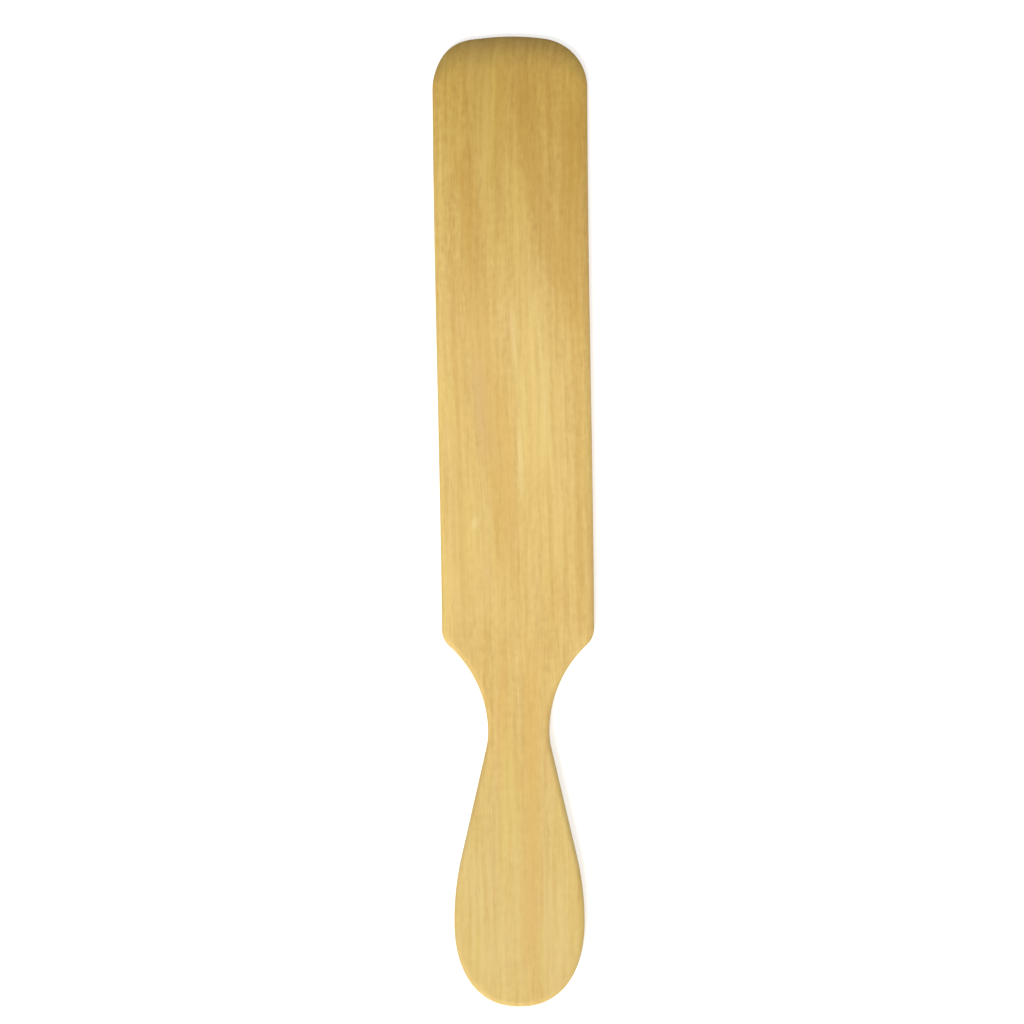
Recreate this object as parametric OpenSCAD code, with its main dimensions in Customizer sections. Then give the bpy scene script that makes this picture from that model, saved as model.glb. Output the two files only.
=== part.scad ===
// Wooden spatula cut from one board: a long flat blade with rounded corners,
// scooped shoulders, a narrow neck and a teardrop handle.
// Millimetres. It lies on its flat back with the tip towards +Y and its top
// face up, and its origin is the middle of the box round it, on the back.

/* [Blade] */
// Length of the blade, from the tip to the corners of the shoulders
blade_len = 149.3; // [120:0.1:180]
// Width of the blade at the tip
tip_w = 38.4; // [35:0.1:44]
// Width of the blade at the corners of the shoulders
shoulder_w = 37.6; // [34:0.1:42]
// Radius of the two corners of the tip
tip_corner_r = 12.4; // [10:0.1:15]
// Radius of the slightly crowned edge between those corners
tip_crown_r = 58; // [45:1:200]
// Radius that eases the corners of the shoulders
shoulder_r = 5.5; // [2:0.1:8]

/* [Neck] */
// Length of the scooped stretch, from the corners of the shoulders to the waist
scoop_len = 22.8; // [19:0.1:28]
// Width of the neck at its waist
neck_w = 15.2; // [12:0.1:19]
// Radius of the neck on the handle's side of the waist
neck_r = 18.3; // [12:0.1:28]

/* [Handle] */
// Length of the handle, from the waist to the end
handle_len = 67.9; // [62:0.1:90]
// Width of the handle at its widest
handle_w = 32.2; // [28:0.1:37]
// Length of the rounded end, from the widest part of the handle
end_len = 21.3; // [17:0.1:26]
// Fullness of the rounded end, where 2 is an ellipse and more is squarer
end_fullness = 2.27; // [2:0.01:3]
// Radius of the handle's sides between the widest part and the straight flanks
belly_r = 69; // [50:1:85]

/* [Thickness] */
// Thickness of the board in the handle, the neck and the root of the blade
board_t = 5; // [4.2:0.1:7]
// Thickness of the blade at the tip, before its nose is rolled over
tip_t = 3.2; // [2.8:0.1:4]
// Length over which the blade thins towards the tip
thinning_len = 80; // [40:1:110]
// How the thinning grows along the blade, where 1 is a straight wedge
thinning_curve = 1.5; // [1.1:0.1:2.5]

/* [Edges] */
// Radius of the sanded edge of the top face round the neck and the handle
edge_r = 1.4; // [0.6:0.1:2]
// Width of the softer edge along the blade, which drops no further than the other
blade_edge_w = 2.6; // [1.5:0.1:4]
// Length over which the softer edge grows out of the other, from the shoulders up
edge_fade_len = 14; // [5:1:40]
// Radius of the sanded edge round the back
back_edge_r = 0.8; // [0.3:0.1:1]
// Length of the nose, where the top face rolls over to the tip
nose_len = 8; // [3:0.1:9]
// Drop of the top face over the nose
nose_drop = 1.8; // [0.8:0.1:1.9]

/* [Hidden] */

// Steps along each stretch of half the outline, and across the edges
crown_steps = 6;
corner_steps = 16;
side_steps = 26;
shoulder_steps = 7;
scoop_steps = 14;
neck_steps = 5;
flank_steps = 4;
belly_steps = 11;
end_steps = 20;
top_edge_steps = 8;
back_edge_steps = 4;

// Heights of the main places along the middle line, from the end of the handle
waist_y = handle_len;
shoulder_y = waist_y + scoop_len;
tip_y = shoulder_y + blade_len;
widest_y = end_len;

// The side of the blade is a straight line from the corner of the shoulder
// to where the corner of the tip would be
shoulder_corner = [shoulder_w / 2, shoulder_y];
tip_corner = [tip_w / 2, tip_y];
side_dir = (tip_corner - shoulder_corner) / norm(tip_corner - shoulder_corner);
side_out = [side_dir.y, -side_dir.x];
side_a = atan2(side_out.y, side_out.x);

// The scoop is the arc through the corner of the shoulder that runs straight
// down at the waist, so its radius follows from the place of both
scoop_step_in = (shoulder_w - neck_w) / 2;
scoop_r = (scoop_step_in ^ 2 + scoop_len ^ 2) / (2 * scoop_step_in);
scoop_c = [neck_w / 2 + scoop_r, waist_y];

// Centre of a circle of radius r that touches the side of the blade from
// inside and lies a given way off another centre
function beside(r, other, off) =
    let (foot = shoulder_corner - r * side_out,
         w = foot - other,
         along = w * side_dir)
    foot + (sqrt(along ^ 2 - w * w + off ^ 2) - along) * side_dir;

crown_c = [0, tip_y - tip_crown_r];
corner_c = beside(tip_corner_r, crown_c, tip_crown_r - tip_corner_r);
crown_to_corner = corner_c - crown_c;
crown_end_a = atan2(crown_to_corner.y, crown_to_corner.x);

shoulder_c = beside(shoulder_r, scoop_c, scoop_r + shoulder_r);
shoulder_to_scoop = scoop_c - shoulder_c;
scoop_start_a = atan2(shoulder_to_scoop.y, shoulder_to_scoop.x);

// The straight flank of the handle touches the neck's arc and the belly's
neck_c = [neck_w / 2 + neck_r, waist_y];
belly_c = [handle_w / 2 - belly_r, widest_y];
belly_to_neck = neck_c - belly_c;
flank_a = atan2(belly_to_neck.y, belly_to_neck.x)
    - acos((belly_r + neck_r) / norm(belly_to_neck));

// A station of the outline is its point and the angle at which it faces out
function way(a) = [cos(a), sin(a)];

// Stations along an arc, without the last one. A hollow arc has a radius
// below zero, because it faces its own centre.
function arc(c, r, from, to, steps) =
    [for (i = [0 : steps - 1])
        let (a = from + (to - from) * i / steps)
        [c + r * way(a), a]];

// Stations along a straight line, without its first and last ones
function line(from, to, a, steps) =
    [for (i = [1 : steps - 1]) [from + (to - from) * i / steps, a]];

// Stations along the rounded end, a quarter of a superellipse
function full_end() =
    let (power = 2 / end_fullness,
         slope = 2 - power)
    [for (i = [0 : end_steps])
        let (t = 90 * i / end_steps,
             c = cos(t),
             s = sin(t))
        [[handle_w / 2 * c ^ power, widest_y - end_len * s ^ power],
         atan2(-(s ^ slope) / end_len, c ^ slope / (handle_w / 2))]];

// Half of the outline, from the middle of the tip to the middle of the end
half_outline = concat(
    arc(crown_c, tip_crown_r, 90, crown_end_a, crown_steps),
    arc(corner_c, tip_corner_r, crown_end_a, side_a, corner_steps),
    [[corner_c + tip_corner_r * side_out, side_a]],
    line(corner_c + tip_corner_r * side_out, shoulder_c + shoulder_r * side_out,
         side_a, side_steps),
    arc(shoulder_c, shoulder_r, side_a, scoop_start_a, shoulder_steps),
    arc(scoop_c, -scoop_r, scoop_start_a, 0, scoop_steps),
    arc(neck_c, -neck_r, 0, flank_a, neck_steps),
    [[neck_c - neck_r * way(flank_a), flank_a]],
    line(neck_c - neck_r * way(flank_a), belly_c + belly_r * way(flank_a),
         flank_a, flank_steps),
    arc(belly_c, belly_r, flank_a, 0, belly_steps),
    full_end());

half_count = len(half_outline) - 1;
ring_count = 2 * half_count;

// Height of the top face at a place along the middle line
function top_z(y) =
    let (into = max(0, y - tip_y + thinning_len) / thinning_len)
    board_t - (board_t - tip_t) * into ^ thinning_curve;

// Width of the top edge along a side at a height, which eases from the
// handle's to the blade's above the shoulders
function edge_w(y) =
    let (t = max(0, min(1, (y - shoulder_y) / edge_fade_len)))
    edge_r + (blade_edge_w - edge_r) * t ^ 2 * (3 - 2 * t);

// A point of the top edge. Turn goes from 0, where it leaves the top face,
// to 90, where it meets the upright side. Across the sides the edge is a
// quarter of a circle or of an ellipse, and round the corners of the tip it
// stretches into the long quarter of an ellipse that is the nose.
function top_edge_point(station, turn) =
    let (out = way(station[1]),
         y = station[0].y,
         nose = y > shoulder_y ? max(0, out.y) : 0,
         reach = [edge_w(y) * out.x, (nose > 0 ? nose_len : edge_r) * out.y],
         at = station[0] - (1 - sin(turn)) * reach,
         drop = edge_r + (nose_drop - edge_r) * nose ^ 2)
    [at.x, at.y, top_z(at.y) - drop * (1 - cos(turn))];

// A point of the edge round the back, from the upright side to the back
function back_edge_point(station, turn) =
    let (at = station[0] - back_edge_r * (1 - cos(turn)) * way(station[1]))
    [at.x, at.y, back_edge_r * (1 - sin(turn))];

function mirrored(p) = [-p.x, p.y, p.z];

// A closed ring: down the right half, and back up the left one
function ring(half) =
    concat(half, [for (i = [half_count - 1 : -1 : 1]) mirrored(half[i])]);

top_rings = [for (j = [0 : top_edge_steps])
    ring([for (s = half_outline) top_edge_point(s, 90 * j / top_edge_steps)])];
back_rings = [for (j = [0 : back_edge_steps])
    ring([for (s = half_outline) back_edge_point(s, 90 * j / back_edge_steps)])];
rings = concat(top_rings, back_rings);

function corner_no(j, i) = j * ring_count + i % ring_count;

// The band between ring j and the next one down
function band(j) =
    [for (i = [0 : ring_count - 1])
        each [[corner_no(j, i), corner_no(j + 1, i + 1), corner_no(j, i + 1)],
              [corner_no(j, i), corner_no(j + 1, i), corner_no(j + 1, i + 1)]]];

// A face closed by strips straight across it, between ring j's two halves
function strips(j) =
    [for (i = [0 : half_count - 1])
        each [if (i > 0)
                  [corner_no(j, ring_count - i), corner_no(j, i), corner_no(j, i + 1)],
              if (i < half_count - 1)
                  [corner_no(j, ring_count - i), corner_no(j, i + 1),
                   corner_no(j, ring_count - i - 1)]]];

function turned_over(faces) = [for (f = faces) [f[0], f[2], f[1]]];

module spatula()
{
    color("#e2c27c")
        translate([0, -tip_y / 2, 0])
            polyhedron(
                points = [for (r = rings) each r],
                faces = concat(
                    strips(0),
                    [for (j = [0 : len(rings) - 2]) each band(j)],
                    turned_over(strips(len(rings) - 1))),
                convexity = 4);
}

spatula();
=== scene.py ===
# %% [markdown]
# # A wooden spatula
# The real thing is one board of pale hardwood, sawn to a long blade with scooped shoulders and a
# teardrop handle, planed thinner towards the tip and sanded. There is nothing to assemble, so all of
# the work here goes into two things: a board whose shape follows a few rules, and a wood that looks
# cut from a log and not painted on.
#
# The imported model is loaded first. It is the fixed frame: the board made below has to fill the same
# space, so its box is kept.

# %% Load the imported model
import math

import bmesh
import bpy
import numpy as np
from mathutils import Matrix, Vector


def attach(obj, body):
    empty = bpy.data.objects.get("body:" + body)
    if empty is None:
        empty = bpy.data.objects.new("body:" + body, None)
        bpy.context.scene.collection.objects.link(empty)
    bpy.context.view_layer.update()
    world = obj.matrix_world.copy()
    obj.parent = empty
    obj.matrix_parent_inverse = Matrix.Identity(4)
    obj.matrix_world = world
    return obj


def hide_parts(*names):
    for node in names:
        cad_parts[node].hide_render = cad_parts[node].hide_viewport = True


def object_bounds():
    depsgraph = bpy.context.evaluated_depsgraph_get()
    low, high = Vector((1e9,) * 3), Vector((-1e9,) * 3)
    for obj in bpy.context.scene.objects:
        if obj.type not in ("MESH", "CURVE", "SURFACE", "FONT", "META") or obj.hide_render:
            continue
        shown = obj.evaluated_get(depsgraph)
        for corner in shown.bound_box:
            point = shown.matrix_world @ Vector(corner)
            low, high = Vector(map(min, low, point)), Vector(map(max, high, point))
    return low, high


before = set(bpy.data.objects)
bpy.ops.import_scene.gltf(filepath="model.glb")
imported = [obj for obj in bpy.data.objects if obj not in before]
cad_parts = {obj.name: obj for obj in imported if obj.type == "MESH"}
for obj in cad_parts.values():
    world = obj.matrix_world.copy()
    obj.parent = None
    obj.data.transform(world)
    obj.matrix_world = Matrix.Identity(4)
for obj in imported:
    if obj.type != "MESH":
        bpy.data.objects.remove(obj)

MM = 0.001
cad_low, cad_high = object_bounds()
cad_size = (cad_high - cad_low) / MM
print("CAD box in mm:", [round(v, 2) for v in cad_size])

# %% [markdown]
# ## The camera
# A product photograph of a flat thing is taken from straight above with a long lens, which keeps its
# sides parallel. The photograph gives two points that can be trusted, the middle of the tip and the
# middle of the handle's end. Their distance sets the scale, their slope sets how far the camera is
# turned, and their middle sets where it looks. All three could be found by trial too, but worked out
# from two points they come out right at once.

# %% Camera
PHOTO_SIDE_PX = 1024
TIP_PX = (510.1, 35.9)
END_PX = (521.3, 1005.9)
CAMERA_DISTANCE = 0.9
SENSOR_WIDTH_MM = 36.0

tip_from_end = np.array([TIP_PX[0] - END_PX[0], END_PX[1] - TIP_PX[1]])
metres_per_px = cad_size.y * MM / np.linalg.norm(tip_from_end)
lean = math.atan2(-tip_from_end[0], tip_from_end[1])
right = np.array([math.cos(lean), -math.sin(lean)])
up = np.array([math.sin(lean), math.cos(lean)])
middle_px = (np.array(TIP_PX) + np.array(END_PX)) / 2 - PHOTO_SIDE_PX / 2
aim = metres_per_px * (up * middle_px[1] - right * middle_px[0])

camera = bpy.data.objects.new("camera", bpy.data.cameras.new("camera"))
bpy.context.scene.collection.objects.link(camera)
bpy.context.scene.camera = camera
camera.data.sensor_width = SENSOR_WIDTH_MM
camera.data.lens = SENSOR_WIDTH_MM * CAMERA_DISTANCE / (PHOTO_SIDE_PX * metres_per_px)
camera.location = (aim[0], aim[1], cad_high.z / 2 + CAMERA_DISTANCE)
camera.rotation_euler = (0, 0, -lean)
print(f"lens {camera.data.lens:.0f} mm, turned {math.degrees(lean):.2f} degrees")

# %% [markdown]
# ## Helpers
# Colours are picked on a screen as sRGB hex values, but a shader works with linear light, so one
# function turns the one into the other. Trees of nodes get long, so one more function adds a node,
# sets it up and feeds its inputs in a single line. A feed is a number, a colour, a socket, or a node,
# whose first live output is then meant.

# %% Colours and nodes
def linear(hex_colour):
    """An sRGB hex colour as the linear colour that a node takes, by the sRGB standard's curve."""
    srgb = [int(hex_colour[i : i + 2], 16) / 255 for i in (1, 3, 5)]
    return tuple(c / 12.92 if c <= 0.04045 else ((c + 0.055) / 1.055) ** 2.4 for c in srgb) + (1,)


def add(tree, kind, feeds=(), **settings):
    """Adds a node with its settings, and feeds its inputs by their names or in their order."""
    node = tree.nodes.new(kind)
    for name, value in settings.items():
        setattr(node, name, value)
    live = [s for s in node.inputs if s.enabled]
    for key, feed in feeds.items() if isinstance(feeds, dict) else enumerate(feeds):
        socket = live[key] if isinstance(key, int) else next(s for s in live if s.name == key)
        if isinstance(feed, bpy.types.Node):
            feed = next(s for s in feed.outputs if s.enabled)
        if isinstance(feed, bpy.types.NodeSocket):
            tree.links.new(feed, socket)
        else:
            socket.default_value = feed
    return node


def new_material(name):
    """A material with an empty tree of nodes."""
    material = bpy.data.materials.new(name)
    material.use_nodes = True
    material.node_tree.nodes.clear()
    return material


print("middle grey #808080 is", round(linear("#808080")[0], 3), "of white in linear light")

# %% [markdown]
# ## Light
# Wood shows its shape by shade alone, because it has hardly any gloss. Even light would flatten the
# board, and one lamp alone would blacken all that is turned away from it. So half of the light is
# even and comes from all round, and half comes from one large soft lamp beyond the handle, a little
# to the left. The nose of the blade, which rolls away from the lamp, goes dark, the end of the handle
# stays bright, and the right-hand edges are darker than the left-hand ones. Together the two bring a
# level surface to about the colour that it is written with.

# %% Light from all round
AMBIENT = 0.52

world = bpy.data.worlds.new("studio")
bpy.context.scene.world = world
world.use_nodes = True
world.node_tree.nodes.clear()


def seen_directly(tree):
    """1 where a surface is seen by the camera, in a gloss or through glass, and 0 in lighting."""
    path = add(tree, "ShaderNodeLightPath")
    gloss_or_glass = add(tree, "ShaderNodeMath",
                         [path.outputs["Is Glossy Ray"], path.outputs["Is Transmission Ray"]],
                         operation="MAXIMUM")
    return add(tree, "ShaderNodeMath", [path.outputs["Is Camera Ray"], gloss_or_glass],
               operation="MAXIMUM")


sky = add(world.node_tree, "ShaderNodeBackground", {"Strength": AMBIENT})
backdrop = add(world.node_tree, "ShaderNodeBackground", {"Strength": 1.0})
for background in (sky, backdrop):
    background.inputs["Color"].default_value = linear("#FFFFFF")
shown = add(world.node_tree, "ShaderNodeMixShader", [seen_directly(world.node_tree), sky, backdrop])
add(world.node_tree, "ShaderNodeOutputWorld", {"Surface": shown})
print(f"even light at {AMBIENT} of white, in front of a white backdrop")

# %% Lamp
LAMP_SHARE = 0.48
LAMP_DISTANCE = 4.0
LAMP_HEIGHT_DEGREES = 50
LAMP_TURN_DEGREES = 24
LAMP_WIDTH = 1.5

lamp_height = math.radians(LAMP_HEIGHT_DEGREES)
lamp_turn = math.radians(LAMP_TURN_DEGREES)
to_lamp = Vector((-math.sin(lamp_turn) * math.cos(lamp_height),
                  -math.cos(lamp_turn) * math.cos(lamp_height), math.sin(lamp_height)))
lamp = bpy.data.objects.new("key_lamp", bpy.data.lights.new("key_lamp", "AREA"))
bpy.context.scene.collection.objects.link(lamp)
lamp.data.shape = "DISK"
lamp.data.size = LAMP_WIDTH
# A lamp of P watts lights a level white surface to P * to_lamp.z / (pi * distance) ** 2
lamp.data.energy = LAMP_SHARE * (math.pi * LAMP_DISTANCE) ** 2 / to_lamp.z
lamp.location = to_lamp * LAMP_DISTANCE
lamp.rotation_euler = to_lamp.to_track_quat("Z", "Y").to_euler()
print(f"key lamp {lamp.data.energy:.1f} W at {[round(v, 2) for v in lamp.location]}")

# %% [markdown]
# ## Floor
# The background of the photograph is pure white. A white floor that is only lit comes out pale grey
# where the lamp falls off, and more light would bleach the wood. So to the camera the floor also
# glows a little, and the two add up to white. The lit part still takes the spatula's soft shadow,
# which shows that the board lies flat.

# %% Floor
FLOOR_SIDE = 6.0
FLOOR_GAP = 0.00005
FLOOR_COLOUR = "#F2F2F2"
FLOOR_GLOW = 0.5

floor_mesh = bpy.data.meshes.new("floor")
half_floor = FLOOR_SIDE / 2
floor_mesh.from_pydata([(x, y, cad_low.z - FLOOR_GAP) for x, y in
                        ((-half_floor, -half_floor), (half_floor, -half_floor),
                         (half_floor, half_floor), (-half_floor, half_floor))],
                       [], [(0, 1, 2, 3)])
floor = bpy.data.objects.new("floor", floor_mesh)
bpy.context.scene.collection.objects.link(floor)

matte_white = new_material("matte_white_paper")
paper_tree = matte_white.node_tree
paper = add(paper_tree, "ShaderNodeBsdfDiffuse", {"Color": linear(FLOOR_COLOUR)})
glow_amount = add(paper_tree, "ShaderNodeMath", [seen_directly(paper_tree), FLOOR_GLOW],
                  operation="MULTIPLY")
glow = add(paper_tree, "ShaderNodeEmission", {"Color": linear("#FFFFFF"), "Strength": glow_amount})
lit_and_glowing = add(paper_tree, "ShaderNodeAddShader", [paper, glow])
add(paper_tree, "ShaderNodeOutputMaterial", {"Surface": lit_and_glowing})
floor_mesh.materials.append(matte_white)
print(f"floor {FLOOR_SIDE:.0f} m wide, {FLOOR_GAP / MM} mm below the board")

# %% [markdown]
# ## The saw line
# The board is first a flat outline. It could be traced by hand with a curve tool, but then every
# wobble of the hand stays in it. Whoever draws one with compasses and a ruler makes it of arcs and
# straight lines that touch: a slightly crowned tip between two rounded corners, straight sides, an
# eased shoulder, a scoop down to the waist, the straight flank of the handle, its belly, and a full
# round end. One half is enough, because the other mirrors it. Each point of the line also keeps the
# direction in which it faces out of the wood, which the edges need later on.
#
# All lengths here are in millimetres, and Y is counted from the end of the handle.

# %% Sizes of the outline
TIP_WIDTH = 38.4
SHOULDER_WIDTH = 37.6
TIP_CORNER_RADIUS = 12.4
TIP_CROWN_RADIUS = 58.0
SHOULDER_RADIUS = 5.5
NECK_WIDTH = 15.2
NECK_RADIUS = 18.3
HANDLE_WIDTH = 32.2
BELLY_RADIUS = 69.0
END_LENGTH = 21.3
END_FULLNESS = 2.27
SCOOP_LENGTH = 22.8
HANDLE_LENGTH = 67.9

tip_y = cad_size.y
waist_y = HANDLE_LENGTH
shoulder_y = waist_y + SCOOP_LENGTH
print(f"blade {tip_y - shoulder_y:.1f}, scoop {SCOOP_LENGTH}, handle {HANDLE_LENGTH} mm")

# %% Ways and angles
def way(degrees):
    """The unit vector that points at an angle."""
    return np.array([math.cos(math.radians(degrees)), math.sin(math.radians(degrees))])


def angle_of(vector):
    """The angle at which a vector points, in degrees."""
    return math.degrees(math.atan2(vector[1], vector[0]))


print("a way of 90 degrees, up the board, is", way(90).round(3))

# %% Arcs, lines and the round end
STEP = 0.5


def arc(centre, radius, start, stop):
    """Points and facings along an arc but its last. A hollow arc has a radius below zero."""
    steps = math.ceil(abs(radius * math.radians(stop - start)) / STEP)
    return [(centre + radius * way(a), way(a))
            for a in np.linspace(start, stop, steps, endpoint=False)]


def straight(start, stop, facing):
    """Points and facings along a straight line, but its last."""
    steps = math.ceil(np.linalg.norm(stop - start) / STEP)
    return [(point, way(facing)) for point in np.linspace(start, stop, steps, endpoint=False)]


def full_round(half_width, length, fullness):
    """Points and facings along the rounded end, a quarter of a superellipse."""
    steps = math.ceil(2 * length / STEP)    # because the line is less than twice as long as the end
    line = []
    for t in np.linspace(0, math.pi / 2, steps + 1):
        c, s = max(math.cos(t), 0.0), math.sin(t)
        point = (half_width * c ** (2 / fullness), length * (1 - s ** (2 / fullness)))
        facing = np.array([c ** (2 - 2 / fullness) / half_width, -s ** (2 - 2 / fullness) / length])
        line.append((np.array(point), facing / np.linalg.norm(facing)))
    return line


print(f"points lie {STEP} mm apart, so a quarter turn at the tip's corner takes",
      len(arc(np.zeros(2), TIP_CORNER_RADIUS, 0, 90)))

# %% Where the arcs touch
shoulder_corner = np.array([SHOULDER_WIDTH / 2, shoulder_y])
tip_corner = np.array([TIP_WIDTH / 2, tip_y])
side_way = (tip_corner - shoulder_corner) / np.linalg.norm(tip_corner - shoulder_corner)
side_out = np.array([side_way[1], -side_way[0]])
side_facing = angle_of(side_out)


def beside(radius, other, off):
    """Centre of a circle that touches the blade's side from inside and lies off another centre."""
    foot = shoulder_corner - radius * side_out
    from_other = foot - other
    along = from_other @ side_way
    return foot + (math.sqrt(along ** 2 - from_other @ from_other + off ** 2) - along) * side_way


crown = np.array([0, tip_y - TIP_CROWN_RADIUS])
corner = beside(TIP_CORNER_RADIUS, crown, TIP_CROWN_RADIUS - TIP_CORNER_RADIUS)
crown_stop = angle_of(corner - crown)

# The scoop is the arc through the shoulder's corner that heads straight down at the waist
scoop_depth = (SHOULDER_WIDTH - NECK_WIDTH) / 2
scoop_radius = (scoop_depth ** 2 + SCOOP_LENGTH ** 2) / (2 * scoop_depth)
scoop = np.array([NECK_WIDTH / 2 + scoop_radius, waist_y])
shoulder = beside(SHOULDER_RADIUS, scoop, scoop_radius + SHOULDER_RADIUS)
scoop_start = angle_of(scoop - shoulder)

# The flank of the handle touches the hollow arc of the neck and the full one of the belly
neck = np.array([NECK_WIDTH / 2 + NECK_RADIUS, waist_y])
belly = np.array([HANDLE_WIDTH / 2 - BELLY_RADIUS, END_LENGTH])
belly_to_neck = neck - belly
flank = angle_of(belly_to_neck) - math.degrees(
    math.acos((BELLY_RADIUS + NECK_RADIUS) / np.linalg.norm(belly_to_neck)))
print(f"scoop radius {scoop_radius:.1f} mm, flank leans {flank:.1f} degrees")

# %% The half outline
saw_line = (
    arc(crown, TIP_CROWN_RADIUS, 90, crown_stop)
    + arc(corner, TIP_CORNER_RADIUS, crown_stop, side_facing)
    + straight(corner + TIP_CORNER_RADIUS * side_out, shoulder + SHOULDER_RADIUS * side_out,
               side_facing)
    + arc(shoulder, SHOULDER_RADIUS, side_facing, scoop_start)
    + arc(scoop, -scoop_radius, scoop_start, 0)
    + arc(neck, -NECK_RADIUS, 0, flank)
    + straight(neck - NECK_RADIUS * way(flank), belly + BELLY_RADIUS * way(flank), flank)
    + arc(belly, BELLY_RADIUS, flank, 0)
    + full_round(HANDLE_WIDTH / 2, END_LENGTH, END_FULLNESS)
)
shift = np.array([0, tip_y / 2])
outline_mesh = bpy.data.meshes.new("saw_line")
outline_mesh.from_pydata([(*(point - shift) * MM, 0) for point, _ in saw_line],
                         [(i, i + 1) for i in range(len(saw_line) - 1)], [])
facings = outline_mesh.attributes.new("facing", "FLOAT_VECTOR", "POINT")
facings.data.foreach_set("vector", [v for _, out in saw_line for v in (*out, 0)])
spatula = bpy.data.objects.new("spatula_board", outline_mesh)
bpy.context.scene.collection.objects.link(spatula)
widest = max(point[0] for point, _ in saw_line) * 2
print(f"{len(saw_line)} points, {widest:.2f} mm wide against {cad_size.x:.2f} in the CAD box")

# %% [markdown]
# ## The board, by rule
# Everything else about the shape is a rule that holds all along the saw line. The top is level over
# the handle and sinks towards the tip, the top edge is sanded round, softer along the blade, and at
# the tip it stretches into a long rolled nose. The back is flat, with a small round of its own. A
# bevel would be quicker, but it has one width all round. Such a shape suits Geometry Nodes: a sheet
# of points is bent round half of the board. Its rows go down the saw line, and its columns go from
# the middle of the top, over the edge, to the middle of the back. The sizes are the tree's inputs,
# so any of them can be tried without touching the nodes.

# %% Sizes of the section
sizes = {
    "Tip": tip_y / 2,
    "Shoulder": shoulder_y - tip_y / 2,
    "Board Thickness": cad_size.z,
    "Tip Thickness": 3.2,
    "Thinning Length": 80.0,
    "Edge Radius": 1.4,
    "Blade Edge Width": 2.6,
    "Edge Fade Length": 14.0,
    "Back Edge Radius": 0.8,
    "Nose Length": 8.0,
    "Nose Drop": 1.8,
    "Crook": 0.28,
    "Crook Crest": -19.0,
    "Crook Length": 210.0,
    "Full Corner": 0.52,
    "Full Corner X": -14.8,
    "Full Corner Y": 117.4,
    "Full Corner Reach": 9.0,
}
sizes = {name: value * MM for name, value in sizes.items()}
sizes["Thinning Curve"] = 1.5        # no length, but the power by which the top sinks

STEPS_ACROSS = {"level top": 10, "top edge": 16, "upright side": 3, "back edge": 7, "level back": 5}
stops = np.cumsum([0, *STEPS_ACROSS.values()])
print(f"{len(sizes)} sizes, and {stops[-1]} steps from the middle of the top to that of the back")

# %% The tree and its inputs
board = bpy.data.node_groups.new("board_from_saw_line", "GeometryNodeTree")
board.interface.new_socket("Geometry", in_out="INPUT", socket_type="NodeSocketGeometry")
sockets = {name: board.interface.new_socket(name, in_out="INPUT", socket_type="NodeSocketFloat")
           for name in sizes}
sockets["Material"] = board.interface.new_socket("Material", in_out="INPUT",
                                                 socket_type="NodeSocketMaterial")
board.interface.new_socket("Geometry", in_out="OUTPUT", socket_type="NodeSocketGeometry")
given = add(board, "NodeGroupInput").outputs
print("inputs:", ", ".join(sockets))

# %% [markdown]
# A flat grid of one unit, from -0.5 to 0.5, is the sheet. Its own X tells which point of the saw line
# a row belongs to, and its own Y how far across the section a column is. From Y come five shares, one
# for each stretch of the section, that go from 0 to 1 one after the other, or to a quarter turn on
# the two edges.

# %% The sheet
count = add(board, "GeometryNodeAttributeDomainSize", [given["Geometry"]], component="MESH")
sheet = add(board, "GeometryNodeMeshGrid",
            {"Size X": 1, "Size Y": 1, "Vertices X": count.outputs["Point Count"],
             "Vertices Y": int(stops[-1]) + 1})
place = add(board, "ShaderNodeSeparateXYZ", [add(board, "GeometryNodeInputPosition")])
last_row = add(board, "ShaderNodeMath", [count.outputs["Point Count"], 1], operation="SUBTRACT")
row_place = add(board, "ShaderNodeMath", [place.outputs["X"], 0.5], operation="ADD")
row_number = add(board, "ShaderNodeMath", [row_place, last_row], operation="MULTIPLY")
row = add(board, "FunctionNodeFloatToInt", [row_number], rounding_mode="ROUND")
step_place = add(board, "ShaderNodeMath", [place.outputs["Y"], 0.5], operation="ADD")
step = add(board, "ShaderNodeMath", [step_place, float(stops[-1])], operation="MULTIPLY")

quarter = math.pi / 2
level_share, turn, side_share, back_turn, back_share = (
    add(board, "ShaderNodeMapRange", [step, float(stops[i]), float(stops[i + 1]), 0, end])
    for i, end in enumerate((1, quarter, 1, quarter, 1)))
print(f"the sheet has {len(saw_line)} rows and {stops[-1] + 1} columns")

# %% The point of the saw line that each row belongs to
station = add(board, "GeometryNodeSampleIndex",
              {"Geometry": given["Geometry"], "Value": add(board, "GeometryNodeInputPosition"),
               "Index": row}, data_type="FLOAT_VECTOR")
facing_name = add(board, "GeometryNodeInputNamedAttribute", ["facing"], data_type="FLOAT_VECTOR")
facing = add(board, "GeometryNodeSampleIndex",
             {"Geometry": given["Geometry"], "Value": facing_name, "Index": row},
             data_type="FLOAT_VECTOR")
station_y = add(board, "ShaderNodeSeparateXYZ", [station]).outputs["Y"]
facing_y = add(board, "ShaderNodeSeparateXYZ", [facing]).outputs["Y"]
print(f"{len(board.nodes)} nodes so far")

# %% [markdown]
# The reach of the top edge is how far it comes in from the saw line: the edge's width across the
# sides, and the nose's length towards the tip. Split into X and Y like this it goes round the corners
# of the tip as an ellipse, with no kink. A circle's quarter, stretched by that reach, is the edge.

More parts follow.
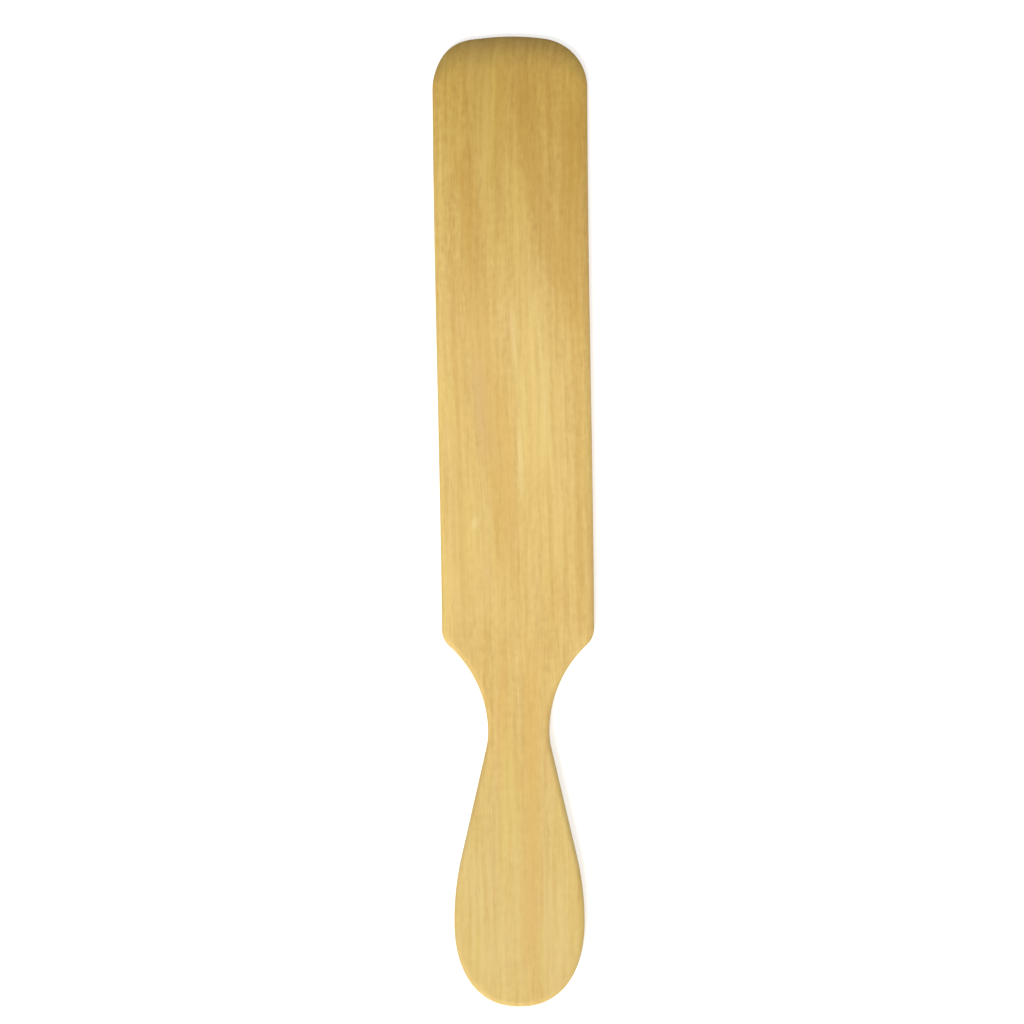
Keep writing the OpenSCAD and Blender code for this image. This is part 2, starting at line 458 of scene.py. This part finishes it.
# %% The reach of the top edge
fade_stop = add(board, "ShaderNodeMath", [given["Shoulder"], given["Edge Fade Length"]],
                operation="ADD")
edge_width = add(board, "ShaderNodeMapRange",
                 [station_y, given["Shoulder"], fade_stop, given["Edge Radius"],
                  given["Blade Edge Width"]], interpolation_type="SMOOTHSTEP")
on_blade = add(board, "ShaderNodeMath", [station_y, given["Shoulder"]], operation="GREATER_THAN")
nose_side = add(board, "ShaderNodeMath", [facing_y, 0], operation="MAXIMUM")
nose = add(board, "ShaderNodeMath", [nose_side, on_blade], operation="MULTIPLY")
in_nose = add(board, "ShaderNodeMath", [nose, 0], operation="GREATER_THAN")
end_reach = add(board, "ShaderNodeMix", {"Factor": in_nose, "A": given["Edge Radius"],
                                         "B": given["Nose Length"]}, data_type="FLOAT")
reach_scale = add(board, "ShaderNodeCombineXYZ", [edge_width, end_reach, 0])
reach = add(board, "ShaderNodeVectorMath", [facing, reach_scale], operation="MULTIPLY")
print(f"{len(board.nodes)} nodes with the reach of the top edge")

# %% Round both edges
sine = add(board, "ShaderNodeMath", [turn], operation="SINE")
cosine = add(board, "ShaderNodeMath", [turn], operation="COSINE")
back_sine = add(board, "ShaderNodeMath", [back_turn], operation="SINE")
back_cosine = add(board, "ShaderNodeMath", [back_turn], operation="COSINE")
inward = add(board, "ShaderNodeMath", [1, sine], operation="SUBTRACT")
back_inward = add(board, "ShaderNodeMath", [1, back_cosine], operation="SUBTRACT")
top_inset = add(board, "ShaderNodeVectorMath", {"Vector": reach, "Scale": inward},
                operation="SCALE")
back_reach = add(board, "ShaderNodeMath", [back_inward, given["Back Edge Radius"]],
                 operation="MULTIPLY")
back_inset = add(board, "ShaderNodeVectorMath", {"Vector": facing, "Scale": back_reach},
                 operation="SCALE")
inset = add(board, "ShaderNodeVectorMath", [top_inset, back_inset], operation="ADD")
rim = add(board, "ShaderNodeVectorMath", [station, inset], operation="SUBTRACT")
rim_x, rim_y = add(board, "ShaderNodeSeparateXYZ", [rim]).outputs[:2]
print(f"{len(board.nodes)} nodes with the plan of the edges")

# %% [markdown]
# Heights come last, because the top's height depends on where a point has ended up. Over the thinning
# length the top sinks by a power of the distance: it leaves the level part with no edge, and then
# falls faster. The level top and back are filled by drawing the rim in towards the middle line.

# %% Heights
thinning_start = add(board, "ShaderNodeMath", [given["Tip"], given["Thinning Length"]],
                     operation="SUBTRACT")
into = add(board, "ShaderNodeMapRange", [rim_y, thinning_start, given["Tip"], 0, 1])
sunk_share = add(board, "ShaderNodeMath", [into, given["Thinning Curve"]], operation="POWER")
level = add(board, "ShaderNodeMix", {"Factor": sunk_share, "A": given["Board Thickness"],
                                     "B": given["Tip Thickness"]}, data_type="FLOAT")
nose_squared = add(board, "ShaderNodeMath", [nose, nose], operation="MULTIPLY")
full_drop = add(board, "ShaderNodeMix", {"Factor": nose_squared, "A": given["Edge Radius"],
                                         "B": given["Nose Drop"]}, data_type="FLOAT")
downward = add(board, "ShaderNodeMath", [1, cosine], operation="SUBTRACT")
drop = add(board, "ShaderNodeMath", [full_drop, downward], operation="MULTIPLY")
top_height = add(board, "ShaderNodeMath", [level, drop], operation="SUBTRACT")
back_upward = add(board, "ShaderNodeMath", [1, back_sine], operation="SUBTRACT")
back_height = add(board, "ShaderNodeMath", [back_upward, given["Back Edge Radius"]],
                  operation="MULTIPLY")
point_z = add(board, "ShaderNodeMix", {"Factor": side_share, "A": top_height, "B": back_height},
              data_type="FLOAT")
back_fill = add(board, "ShaderNodeMath", [1, back_share], operation="SUBTRACT")
fill = add(board, "ShaderNodeMath", [level_share, back_fill], operation="MULTIPLY")
point_x = add(board, "ShaderNodeMath", [rim_x, fill], operation="MULTIPLY")
point = add(board, "ShaderNodeCombineXYZ", [point_x, rim_y, point_z])
half_board = add(board, "GeometryNodeSetPosition", {"Geometry": sheet.outputs["Mesh"],
                                                    "Position": point})
print(f"{len(board.nodes)} nodes with the heights")

# %% [markdown]
# The other half is the same sheet mirrored. A mirror turns faces inside out, so they are flipped
# before the halves are joined and the points that meet on the middle line are merged. A Mirror
# modifier would do the same, but the next steps differ from side to side and belong in the tree too.

# %% The whole board
MERGE_DISTANCE = 0.000001

other_half = add(board, "GeometryNodeTransform", {"Geometry": half_board, "Scale": (-1, 1, 1)})
flipped = add(board, "GeometryNodeFlipFaces", {"Mesh": other_half})
halves = add(board, "GeometryNodeJoinGeometry")
board.links.new(half_board.outputs[0], halves.inputs[0])
board.links.new(flipped.outputs[0], halves.inputs[0])
merged = add(board, "GeometryNodeMergeByDistance", {"Geometry": halves, "Distance": MERGE_DISTANCE})
print(f"{len(board.nodes)} nodes with the other half")

# %% [markdown]
# A sawn board seldom stays quite straight while it dries. This one has bent sideways by a quarter of
# a millimetre, too little to notice, but enough to show when the render is laid over the photograph.
# The bend is one slow wave along the board. A Lattice could bend it too, but in the tree the bend has
# sizes that one can read.

# %% The crook
made_y = add(board, "ShaderNodeSeparateXYZ", [add(board, "GeometryNodeInputPosition")]).outputs["Y"]
from_crest = add(board, "ShaderNodeMath", [made_y, given["Crook Crest"]], operation="SUBTRACT")
waves = add(board, "ShaderNodeMath", [from_crest, given["Crook Length"]], operation="DIVIDE")
phase = add(board, "ShaderNodeMath", [waves, 2 * math.pi], operation="MULTIPLY")
wave = add(board, "ShaderNodeMath", [phase], operation="COSINE")
sideways = add(board, "ShaderNodeMath", [wave, given["Crook"]], operation="MULTIPLY")
bent_by = add(board, "ShaderNodeCombineXYZ", [sideways, 0, 0])
bent = add(board, "GeometryNodeSetPosition", {"Geometry": merged, "Offset": bent_by})
print(f"bent by up to {sizes['Crook'] / MM:.2f} mm to either side")

# %% [markdown]
# The tip was rounded by hand, and its left-hand corner was left a little fuller than the other. All
# points near that corner are drawn outwards, the nearest ones by the most. By hand, that is what
# proportional editing does.

# %% The fuller corner
CORNER_WAY_DEGREES = 128

made_at = add(board, "GeometryNodeInputPosition")
full_place = add(board, "ShaderNodeCombineXYZ", [given["Full Corner X"], given["Full Corner Y"], 0])
from_corner = add(board, "ShaderNodeVectorMath", [made_at, full_place], operation="DISTANCE")
drawn = add(board, "ShaderNodeMapRange",
            [from_corner.outputs["Value"], 0, given["Full Corner Reach"], given["Full Corner"], 0],
            interpolation_type="SMOOTHSTEP")
outwards = add(board, "ShaderNodeCombineXYZ", [*way(CORNER_WAY_DEGREES), 0])
drawn_by = add(board, "ShaderNodeVectorMath", {"Vector": outwards, "Scale": drawn},
               operation="SCALE")
sanded = add(board, "GeometryNodeSetPosition", {"Geometry": bent, "Offset": drawn_by})
print(f"corner drawn out by up to {sizes['Full Corner'] / MM:.2f} mm")

# %% [markdown]
# The tree ends in three nodes. Smooth shading lets the fine strips of the edge read as one round.
# Realize Instances makes any copies real, which an export needs, and Set Material gives the board its
# wood.

# %% The finished board
smooth = add(board, "GeometryNodeSetShadeSmooth", {"Geometry": sanded})
real = add(board, "GeometryNodeRealizeInstances", {"Geometry": smooth})
finished = add(board, "GeometryNodeSetMaterial", {"Geometry": real, "Material": given["Material"]})
add(board, "NodeGroupOutput", [finished])
print(f"{len(board.nodes)} nodes")

# %% [markdown]
# ## The wood
# A board is a slice of a log, so its pattern is not painted on its face: it fills the whole body, and
# the saw and the sandpaper only lay it bare. A picture of wood wrapped round the board would smear
# down its sides. That is why the colour below depends on where a point lies inside the log. The lines
# on the face then run on over the rounded edges and down the sides by themselves, as they do on real
# wood.
#
# This is a pale, close-grained hardwood like birch or beech, sanded and left bare. Its rings lie
# round the pith, the core of the log, which is far outside the board, so on the face they are nearly
# straight and run along it. A slow wander keeps them from being ruled lines, and over the blade they
# lean to one side.

# %% Place on the board
NOISE_MIDDLE = 0.5       # noise swings between 0 and 1 about this
NOISE_DETAIL = 1.0

wood = new_material("sanded_bare_birch")
tree = wood.node_tree
on_board = add(tree, "ShaderNodeTexCoord").outputs
place_mm = add(tree, "ShaderNodeVectorMath", {"Vector": on_board["Object"], "Scale": 1 / MM},
               operation="SCALE")
place_x, place_y, place_z = add(tree, "ShaderNodeSeparateXYZ", [place_mm]).outputs


def grain(where, size, seed):
    """Noise in the wood, stretched to a size in mm across, along and through the board."""
    stretched = add(tree, "ShaderNodeVectorMath", [where, size], operation="DIVIDE")
    return add(tree, "ShaderNodeTexNoise", {"Vector": stretched, "W": seed, "Scale": 1.0,
                                            "Detail": NOISE_DETAIL}, noise_dimensions="4D").outputs[0]


print(f"{len(tree.nodes)} nodes in {wood.name}, which read a place in millimetres")

# %% Place in the log
PITH_SIDE = 70.0
PITH_DEPTH = 45.0
GRAIN_LEAN = 2.0
GRAIN_WANDER = 1.0
WANDER_SIZE = (16, 60, 16)
LEAN_FROM, LEAN_TO = -20.0, 70.0

wander = add(tree, "ShaderNodeMath", [grain(place_mm, WANDER_SIZE, 0), NOISE_MIDDLE],
             operation="SUBTRACT")
wandered = add(tree, "ShaderNodeMath", [wander, GRAIN_WANDER * 2, place_x],
               operation="MULTIPLY_ADD")
lean_here = add(tree, "ShaderNodeMapRange", [place_y, LEAN_FROM, LEAN_TO, 0, GRAIN_LEAN],
                interpolation_type="SMOOTHSTEP")
across_log = add(tree, "ShaderNodeMath", [wandered, lean_here], operation="ADD")
pith_x = add(tree, "ShaderNodeMath", [across_log, PITH_SIDE], operation="ADD")
pith_z = add(tree, "ShaderNodeMath", [place_z, PITH_DEPTH], operation="ADD")
from_pith = add(tree, "ShaderNodeVectorMath",
                {"Vector": add(tree, "ShaderNodeCombineXYZ", [pith_x, 0, pith_z])},
                operation="LENGTH").outputs["Value"]
log_place = add(tree, "ShaderNodeCombineXYZ", [from_pith, place_y, place_z])
print(f"the pith lies {math.hypot(PITH_SIDE, PITH_DEPTH):.0f} mm away, so the rings look straight")

# %% [markdown]
# Seen near, the wood is made of soft bands a few millimetres wide, fine lines inside them, fibres of
# half a millimetre, finer ones that only show close to, and a faint mottle. All of them are the same
# noise, stretched more or less along the grain, and differ only in size and in how strongly they
# count. With the rings, which are faint in such wood, they sum up to one swing of the paleness, from
# the darkest late wood to the palest early wood. The swing is deeper towards the tip, where use has
# brought the grain out, and shallower in the handle, which hands have polished. A few short dark
# dashes are opened pores.

# %% Layers of the grain
# Each has its size in mm across, along and through the board, and its weight
GRAIN_LAYERS = {
    "bands": ((3.0, 80, 30), 0.20),
    "lines": ((0.95, 24, 12), 0.29),
    "fibres": ((0.45, 4.5, 1.5), 0.22),
    "fine fibres": ((0.15, 5.0, 0.15), 0.28),
    "mottle": ((1.1, 1.8, 1.2), 0.24),
}

swings = 0.0
layers = {}
for seed, (name, (size, weight)) in enumerate(GRAIN_LAYERS.items()):
    layers[name] = grain(log_place, size, seed)
    swing = add(tree, "ShaderNodeMath", [layers[name], NOISE_MIDDLE], operation="SUBTRACT")
    # Noise strays half a unit from its middle, so its weight counts twice
    swings = add(tree, "ShaderNodeMath", [swing, weight * 2, swings], operation="MULTIPLY_ADD")
print("layers:", ", ".join(GRAIN_LAYERS))

# %% Rings, depth and pores
RING_WIDTH = 1.55
RING_WOBBLE = 2.5
RING_WEIGHT = 0.04
HANDLE_DEPTH, TIP_DEPTH = 0.86, 1.16
DEPTH_FROM, DEPTH_TO = -10.0, 75.0
MIDDLE_TONE = 0.5
PORE_SIZE = (0.3, 5.0, 0.4)
PORE_FROM, PORE_TO = 0.68, 0.80
PORE_STRENGTH = 0.35

even_phase = add(tree, "ShaderNodeMath", [from_pith, 2 * math.pi / RING_WIDTH],
                 operation="MULTIPLY")
ring_phase = add(tree, "ShaderNodeMath", [layers["bands"], RING_WOBBLE * math.pi, even_phase],
                 operation="MULTIPLY_ADD")
rings = add(tree, "ShaderNodeMath", [ring_phase], operation="SINE")
swings = add(tree, "ShaderNodeMath", [rings, RING_WEIGHT, swings], operation="MULTIPLY_ADD")
depth = add(tree, "ShaderNodeMapRange", [place_y, DEPTH_FROM, DEPTH_TO, HANDLE_DEPTH, TIP_DEPTH])
paleness = add(tree, "ShaderNodeMath", [swings, depth, MIDDLE_TONE], operation="MULTIPLY_ADD")
pore_noise = grain(log_place, PORE_SIZE, len(GRAIN_LAYERS))
pores = add(tree, "ShaderNodeMapRange", [pore_noise, PORE_FROM, PORE_TO, 0, PORE_STRENGTH])
print(f"rings {RING_WIDTH} mm wide, and pores {PORE_SIZE[1]:.0f} mm long")

# %% From late wood to early wood
LATE_WOOD = "#CAA256"
EARLY_WOOD = "#F5D78E"


def mixed(share, colour, other, **settings):
    """A colour with another one laid over it, as far as the share goes."""
    return add(tree, "ShaderNodeMix", {"Factor": share, "A": colour, "B": other},
               data_type="RGBA", **settings)


base = mixed(paleness, linear(LATE_WOOD), linear(EARLY_WOOD))
print("the grain runs from", LATE_WOOD, "to", EARLY_WOOD)

# %% [markdown]
# ## The bands of this one board
# No two boards are alike, and a few broad bands are what one would know this one by: a pale swath
# that starts left of the middle at the tip and slants down to the right, a brown band along its left
# side, a dark one along its right side, and a warm core in the handle. They could be painted on as an
# image. Here each is a soft ribbon through a few places, in one of ten tones of the same wood, so
# that it can be moved or taken away by itself. An entry gives the tone, the strength, half the width,
# the length over which the ends fade, and the places, downwards. All lengths are in millimetres from
# the middle of the board.

# %% Bands
TONES = {
    "palest": "#F6DE9E",
    "pale": "#EFD186",
    "yellow": "#E6CB74",
    "grey": "#E7CD91",
    "dull": "#DDC586",
    "orange": "#DBAA55",
    "brown": "#DAAC66",
    "pink": "#D5B082",
    "dark": "#CB9C47",
    "darkest": "#C09040",
}
BANDS = {
    "swath": ("pale", 0.42, 4.2, 28,
              [(-4.8, 112), (-3.2, 90), (-1.0, 72), (2.8, 54), (5.8, 34), (6.3, 8)]),
    "top of the swath": ("grey", 0.40, 2.4, 24, [(-7.8, 118), (-7.2, 94)]),
    "start of the brown": ("orange", 0.40, 2.2, 20, [(-11.6, 90), (-9.0, 62)]),
    "brown": ("brown", 0.42, 2.8, 24, [(-8.6, 62), (-6.9, 36), (-4.8, 16), (-2.6, -4), (-1.6, -12)]),
    "heart of the brown": ("pink", 0.32, 2.0, 12, [(-8.6, 38), (-8.2, 28), (-6.0, 15)]),
    "side of the brown": ("orange", 0.25, 1.3, 14, [(-4.0, 34), (-1.4, 20), (-0.8, 2)]),
    "left of the brown": ("orange", 0.26, 1.6, 20, [(-14.4, 66), (-12.8, 20)]),
    "pale left of the brown": ("pale", 0.35, 2.4, 14, [(-10.6, 16), (-8.0, -26)]),
    "pale right of the brown": ("pale", 0.16, 2.0, 14, [(-2.8, -10), (-3.2, -26)]),
    "left-hand edge": ("pale", 0.44, 2.6, 20, [(-16.5, 36), (-15.0, 0), (-16.0, -28)]),
    "beside the swath": ("dark", 0.35, 2.9, 20, [(3.0, 112), (5.0, 88), (8.1, 72), (13.5, 52)]),
    "right-hand side": ("dark", 0.49, 2.8, 20, [(15.2, 104), (14.8, 78), (17.0, 40)]),
    "pale on the right": ("pale", 0.34, 1.8, 14, [(9.4, 38), (10.6, -10)]),
    "lower blade": ("pale", 0.18, 18, 30, [(0, 52), (0, -18)]),
    "neck": ("orange", 0.28, 1.2, 16, [(-3.0, -30), (-4.2, -60)]),
    "handle": ("dull", 0.35, 40, 40, [(0, -62), (0, -130)]),
    "left of the handle": ("grey", 0.30, 3.4, 14, [(-10.0, -82), (-8.6, -112)]),
    "right of the handle": ("grey", 0.27, 2.6, 14, [(8.4, -88), (8.8, -112)]),
    "left of the core": ("yellow", 0.20, 1.7, 14, [(-2.4, -50), (-2.0, -80)]),
    "core of the handle": ("orange", 0.27, 2.0, 24, [(3.8, -32), (3.2, -60), (2.4, -112)]),
    "fine line": ("palest", 0.22, 0.7, 12, [(-1.0, 54), (1.6, 34), (1.8, 8)]),
    "bright end of the fine line": ("palest", 0.34, 0.6, 5, [(1.3, 21), (1.9, 6)]),
    "fine line, right": ("palest", 0.14, 0.6, 12, [(4.4, 60), (7.8, 32), (7.8, 18)]),
    "fine line, left": ("palest", 0.30, 0.9, 14, [(-7.6, 6), (-7.4, -20)]),
    "dark line, upper left": ("darkest", 0.26, 0.9, 10, [(-3.0, 114), (-3.4, 72)]),
    "dark line, upper right": ("darkest", 0.28, 0.7, 10, [(8.9, 112), (9.9, 84)]),
    "dark line, left": ("darkest", 0.19, 0.6, 12, [(-14.4, 56), (-13.4, -26)]),
    "dark line, middle right": ("darkest", 0.20, 0.5, 10, [(8.6, 12), (9.2, -28)]),
    "dark line, right": ("darkest", 0.22, 0.6, 10, [(12.2, 0), (12.4, -28)]),
    "dark line by the right edge": ("darkest", 0.24, 0.9, 12, [(15.8, 38), (15.2, -28)]),
    "fleck": ("palest", 0.62, 0.75, 2.4, [(-9.9, 1.0), (-10.5, -1.6)]),
}
print(len(BANDS), "bands in", len(TONES), "tones")

# %% [markdown]
# A ribbon is the distance from a bent line, turned into a share that is 1 along the line and eases to
# 0 beside it and past its ends. Each stretch between two places adds its own slant to the line.

# %% A soft ribbon
BAND_SOFTNESS = 0.7


def band_share(half_width, fade, places):
    """How far a point belongs to a soft ribbon that runs through some places, downwards."""
    (start_x, start_y), (_, stop_y) = places[0], places[-1]
    off = add(tree, "ShaderNodeMath", [wandered, start_x], operation="SUBTRACT")
    for (x, y), (next_x, next_y) in zip(places, places[1:]):
        aside = add(tree, "ShaderNodeMapRange", [place_y, y, next_y, 0, next_x - x])
        off = add(tree, "ShaderNodeMath", [off, aside], operation="SUBTRACT")
    side_off = add(tree, "ShaderNodeMath", [off], operation="ABSOLUTE")
    inside = add(tree, "ShaderNodeMapRange",
                 [side_off, half_width * (1 - BAND_SOFTNESS), half_width * (1 + BAND_SOFTNESS), 1, 0],
                 interpolation_type="SMOOTHSTEP")
    above = add(tree, "ShaderNodeMapRange",
                [place_y, start_y - fade / 2, start_y + fade / 2, 1, 0],
                interpolation_type="SMOOTHSTEP")
    below = add(tree, "ShaderNodeMapRange",
                [place_y, stop_y - fade / 2, stop_y + fade / 2, 0, 1],
                interpolation_type="SMOOTHSTEP")
    between = add(tree, "ShaderNodeMath", [above, below], operation="MULTIPLY")
    return add(tree, "ShaderNodeMath", [inside, between], operation="MULTIPLY")


print(f"a ribbon's sides ease out over {2 * BAND_SOFTNESS:.1f} times half its width")

# %% [markdown]
# The ribbons are laid one over the other. A band in real wood is made of single fibres, so the lines
# of the grain break each ribbon up: it is weaker in one line and stronger in the next, and never
# looks like a stripe of paint. The pores come last, because they are dark in every band.

# %% Lay the bands
BREAK_FROM, BREAK_TO = 0.35, 0.65
WEAKEST, STRONGEST = 0.5, 1.3
PORE = "#A8864A"

broken_up = add(tree, "ShaderNodeMapRange",
                [layers["lines"], BREAK_FROM, BREAK_TO, WEAKEST, STRONGEST])
for tone, strength, *ribbon in BANDS.values():
    share = add(tree, "ShaderNodeMath", [band_share(*ribbon), strength], operation="MULTIPLY")
    share = add(tree, "ShaderNodeMath", [share, broken_up], operation="MULTIPLY")
    base = mixed(share, base, linear(TONES[tone]))
base = mixed(pores, base, linear(PORE))
print(f"{len(tree.nodes)} nodes with the bands and the pores")

# %% [markdown]
# If hue and paleness always changed together, the wood would look like one dye in many strengths. In
# real wood some growth is rosier and some more like straw, whether it is pale or dark. One more layer
# of the same noise, in streaks of a few millimetres, sees to that.

# %% Rosy and straw streaks
HUE_SIZE = (2.8, 40, 16)
ROSY, STRAW = "#FFFCFF", "#FEFEE4"

hue = grain(log_place, HUE_SIZE, len(GRAIN_LAYERS) + 1)
hue_tint = mixed(hue, linear(ROSY), linear(STRAW))
base = mixed(1.0, base, hue_tint, blend_type="MULTIPLY")
print(f"hue changes over about {HUE_SIZE[0]:.0f} mm across the grain")

# %% [markdown]
# ## A darker tip: deeper tone and painted shade
# The last third of the blade is deeper in colour than the handle, more so the nearer to the tip, and
# the rolled nose is darkest. Along the blade this is a slow change, partly a deeper tone of the wood
# and partly painted shade, where the light falls off towards the tip and the nose rolls away from the
# lamp beyond the handle. All that faces the tip is darkened once more by how far it faces the tip,
# and that is painted shade alone. Both follow a rule, so neither has to be painted on by hand.

# %% Deeper tone and painted shade of the tip
TIP_TONE_AND_PAINTED_SHADE = "#E2DBB5"
TIP_TINT_FROM, TIP_TINT_TO = 46.0, 106.0
NOSE_TONE_AND_PAINTED_SHADE = "#DFDBE6"
NOSE_FROM, NOSE_TO = 105.0, 120.0
NOSE_CURVE = 2
TIPWARD_PAINTED_SHADE = "#E9ECEC"
TIPWARD_SHADE_SLOPE = 0.35

# Darker towards the tip: partly a deeper tone of the wood, partly painted shade where the light falls
# off
tip_tone_and_shade_share = add(tree, "ShaderNodeMapRange", [place_y, TIP_TINT_FROM, TIP_TINT_TO, 0, 1])
base = mixed(tip_tone_and_shade_share, base, linear(TIP_TONE_AND_PAINTED_SHADE), blend_type="MULTIPLY")
# The last mm darker still: partly deeper tone, partly painted shade of the nose rolling away from the
# lamp
at_nose = add(tree, "ShaderNodeMapRange", [place_y, NOSE_FROM, NOSE_TO, 0, 1])
nose_tone_and_shade_share = add(tree, "ShaderNodeMath", [at_nose, NOSE_CURVE], operation="POWER")
base = mixed(nose_tone_and_shade_share, base, linear(NOSE_TONE_AND_PAINTED_SHADE), blend_type="MULTIPLY")
# Surfaces that face the tip, away from the lamp beyond the handle, are darkened: painted shade
tipward = add(tree, "ShaderNodeSeparateXYZ", [on_board["Normal"]]).outputs["Y"]
tipward_shade_share = add(tree, "ShaderNodeMapRange", [tipward, 0, TIPWARD_SHADE_SLOPE, 0, 1],
                 interpolation_type="SMOOTHSTEP")
base = mixed(tipward_shade_share, base, linear(TIPWARD_PAINTED_SHADE), blend_type="MULTIPLY")
print(f"the tint grows over {TIP_TINT_TO - TIP_TINT_FROM:.0f} mm, and deepens over the last "
      f"{NOSE_TO - NOSE_FROM:.0f} mm")

# %% [markdown]
# Sanded wood without a varnish scatters nearly all of its light, so it is rough, with a gloss that is
# hardly there. A very shallow relief follows the fibres and the pores. It does not show from afar,
# but close to, it breaks the light as raised grain does. As real dents it would need millions of
# faces, so a Bump node only tilts the light on them.

# %% Surface
RELIEF_MM = 0.03
RELIEF_STRENGTH = 0.5
SMOOTHEST, ROUGHEST = 0.6, 0.8
WOOD_IOR = 1.45

relief = add(tree, "ShaderNodeMath", [layers["fibres"], pores], operation="SUBTRACT")
bump = add(tree, "ShaderNodeBump", {"Strength": RELIEF_STRENGTH, "Distance": RELIEF_MM * MM,
                                    "Height": relief})
roughness = add(tree, "ShaderNodeMapRange", [layers["fibres"], 0, 1, SMOOTHEST, ROUGHEST])
surface = add(tree, "ShaderNodeBsdfPrincipled", {"Base Color": base, "Roughness": roughness,
                                                 "IOR": WOOD_IOR, "Normal": bump})
add(tree, "ShaderNodeOutputMaterial", {"Surface": surface})
print(f"{len(tree.nodes)} nodes in {wood.name}")

# %% [markdown]
# ## From nodes to a plain mesh
# The inputs are set by their sockets' identifiers before the tree runs for the first time. Then the
# result is taken as a plain mesh, and the modifier goes. By hand, that is Apply in the modifier's
# menu. The faces are turned outwards once more, and the volume, which is below zero for a mesh that
# is inside out, shows that it worked.

# %% Make the mesh
modifier = spatula.modifiers.new("board", "NODES")
modifier.node_group = board
for name, value in sizes.items():
    modifier[sockets[name].identifier] = value
modifier[sockets["Material"].identifier] = wood
evaluated = spatula.evaluated_get(bpy.context.evaluated_depsgraph_get())
board_mesh = bpy.data.meshes.new_from_object(evaluated)
spatula.modifiers.clear()
spatula.data = board_mesh
bpy.data.meshes.remove(outline_mesh)
board_mesh.name = "spatula_board"

shell = bmesh.new()
shell.from_mesh(board_mesh)
bmesh.ops.recalc_face_normals(shell, faces=shell.faces)
open_edges = sum(not edge.is_manifold for edge in shell.edges)
volume = shell.calc_volume() / MM ** 3
shell.to_mesh(board_mesh)
shell.free()
board_mesh.calc_loop_triangles()
print(f"{len(board_mesh.loop_triangles)} triangles, {open_edges} open edges, {volume:.0f} mm3")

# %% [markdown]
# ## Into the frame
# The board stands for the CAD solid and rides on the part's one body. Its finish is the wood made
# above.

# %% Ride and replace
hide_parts("spatula")
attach(spatula, "root")

bpy.context.scene.view_settings.view_transform = "Standard"
